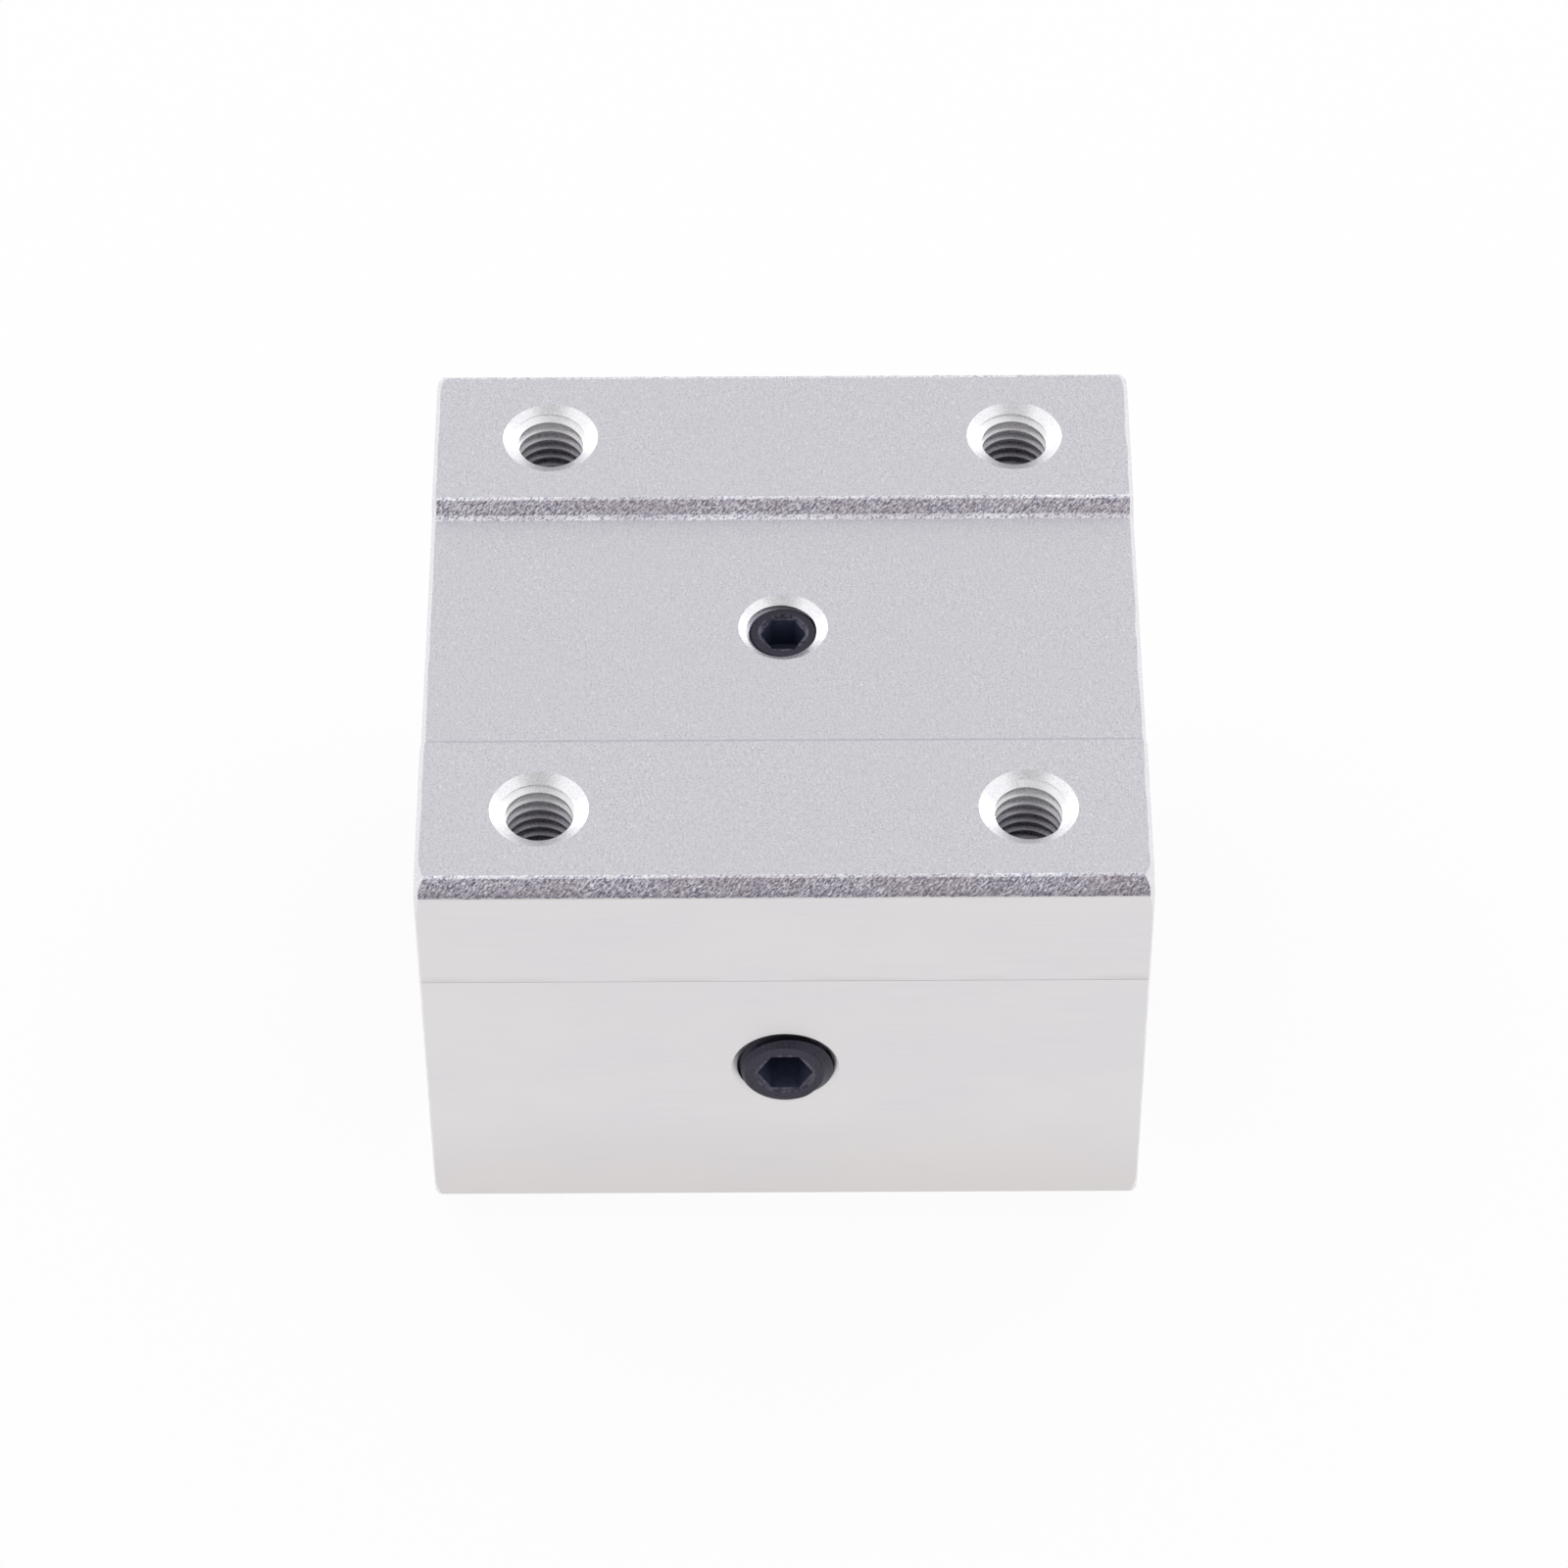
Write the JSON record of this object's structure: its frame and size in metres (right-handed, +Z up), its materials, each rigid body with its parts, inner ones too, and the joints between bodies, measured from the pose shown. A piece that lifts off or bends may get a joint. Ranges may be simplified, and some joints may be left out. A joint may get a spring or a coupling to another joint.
{
  "type": "linear bearing block",
  "caption": "Linear ball bearing in an aluminium slide block, open underneath for a round shaft on a support rail, with tapped fixing holes on top and set screws.",
  "frame": {"origin": "middle of the block's length and width, in the plane of its feet", "axes": "+X along the shaft, +Y across it towards the side without a screw, +Z up through the top pads"},
  "size_m": [0.045, 0.0454, 0.033],
  "materials": {
    "block_aluminium": "fine satin, clear anodised",
    "black_steel": "black oxide",
    "bearing_steel": "ground",
    "retainer_resin": "moulded, natural colour",
    "ball_steel": "polished",
    "ring_resin": "moulded, black",
    "seal_rubber": "smooth black",
    "spring_steel": "phosphated spring steel"
  },
  "bodies": {
    "block": {"bearing_block": "block_aluminium", "outer_sleeve": "bearing_steel", "ball_retainer": "retainer_resin", "ball_circuit_1": "ball_steel", "ball_circuit_2": "ball_steel", "ball_circuit_3": "ball_steel", "ball_circuit_4": "ball_steel", "end_ring_right": "ring_resin", "end_seal_right": "seal_rubber", "retaining_ring_right": "spring_steel", "end_ring_left": "ring_resin", "end_seal_left": "seal_rubber", "retaining_ring_left": "spring_steel"},
    "lock_screw": {"lock_screw": "black_steel"},
    "adjusting_screw": {"adjusting_screw": "black_steel"}
  },
  "joints": [
    {"name": "lock_screw_travel", "type": "slide", "parent": "block", "child": "lock_screw", "axis": [0, 0, 1], "range_m": [0, 0.0032]},
    {"name": "adjusting_screw_travel", "type": "slide", "parent": "block", "child": "adjusting_screw", "axis": [0, -1, 0], "range_m": [-0.0009, 0.003]}
  ]
}
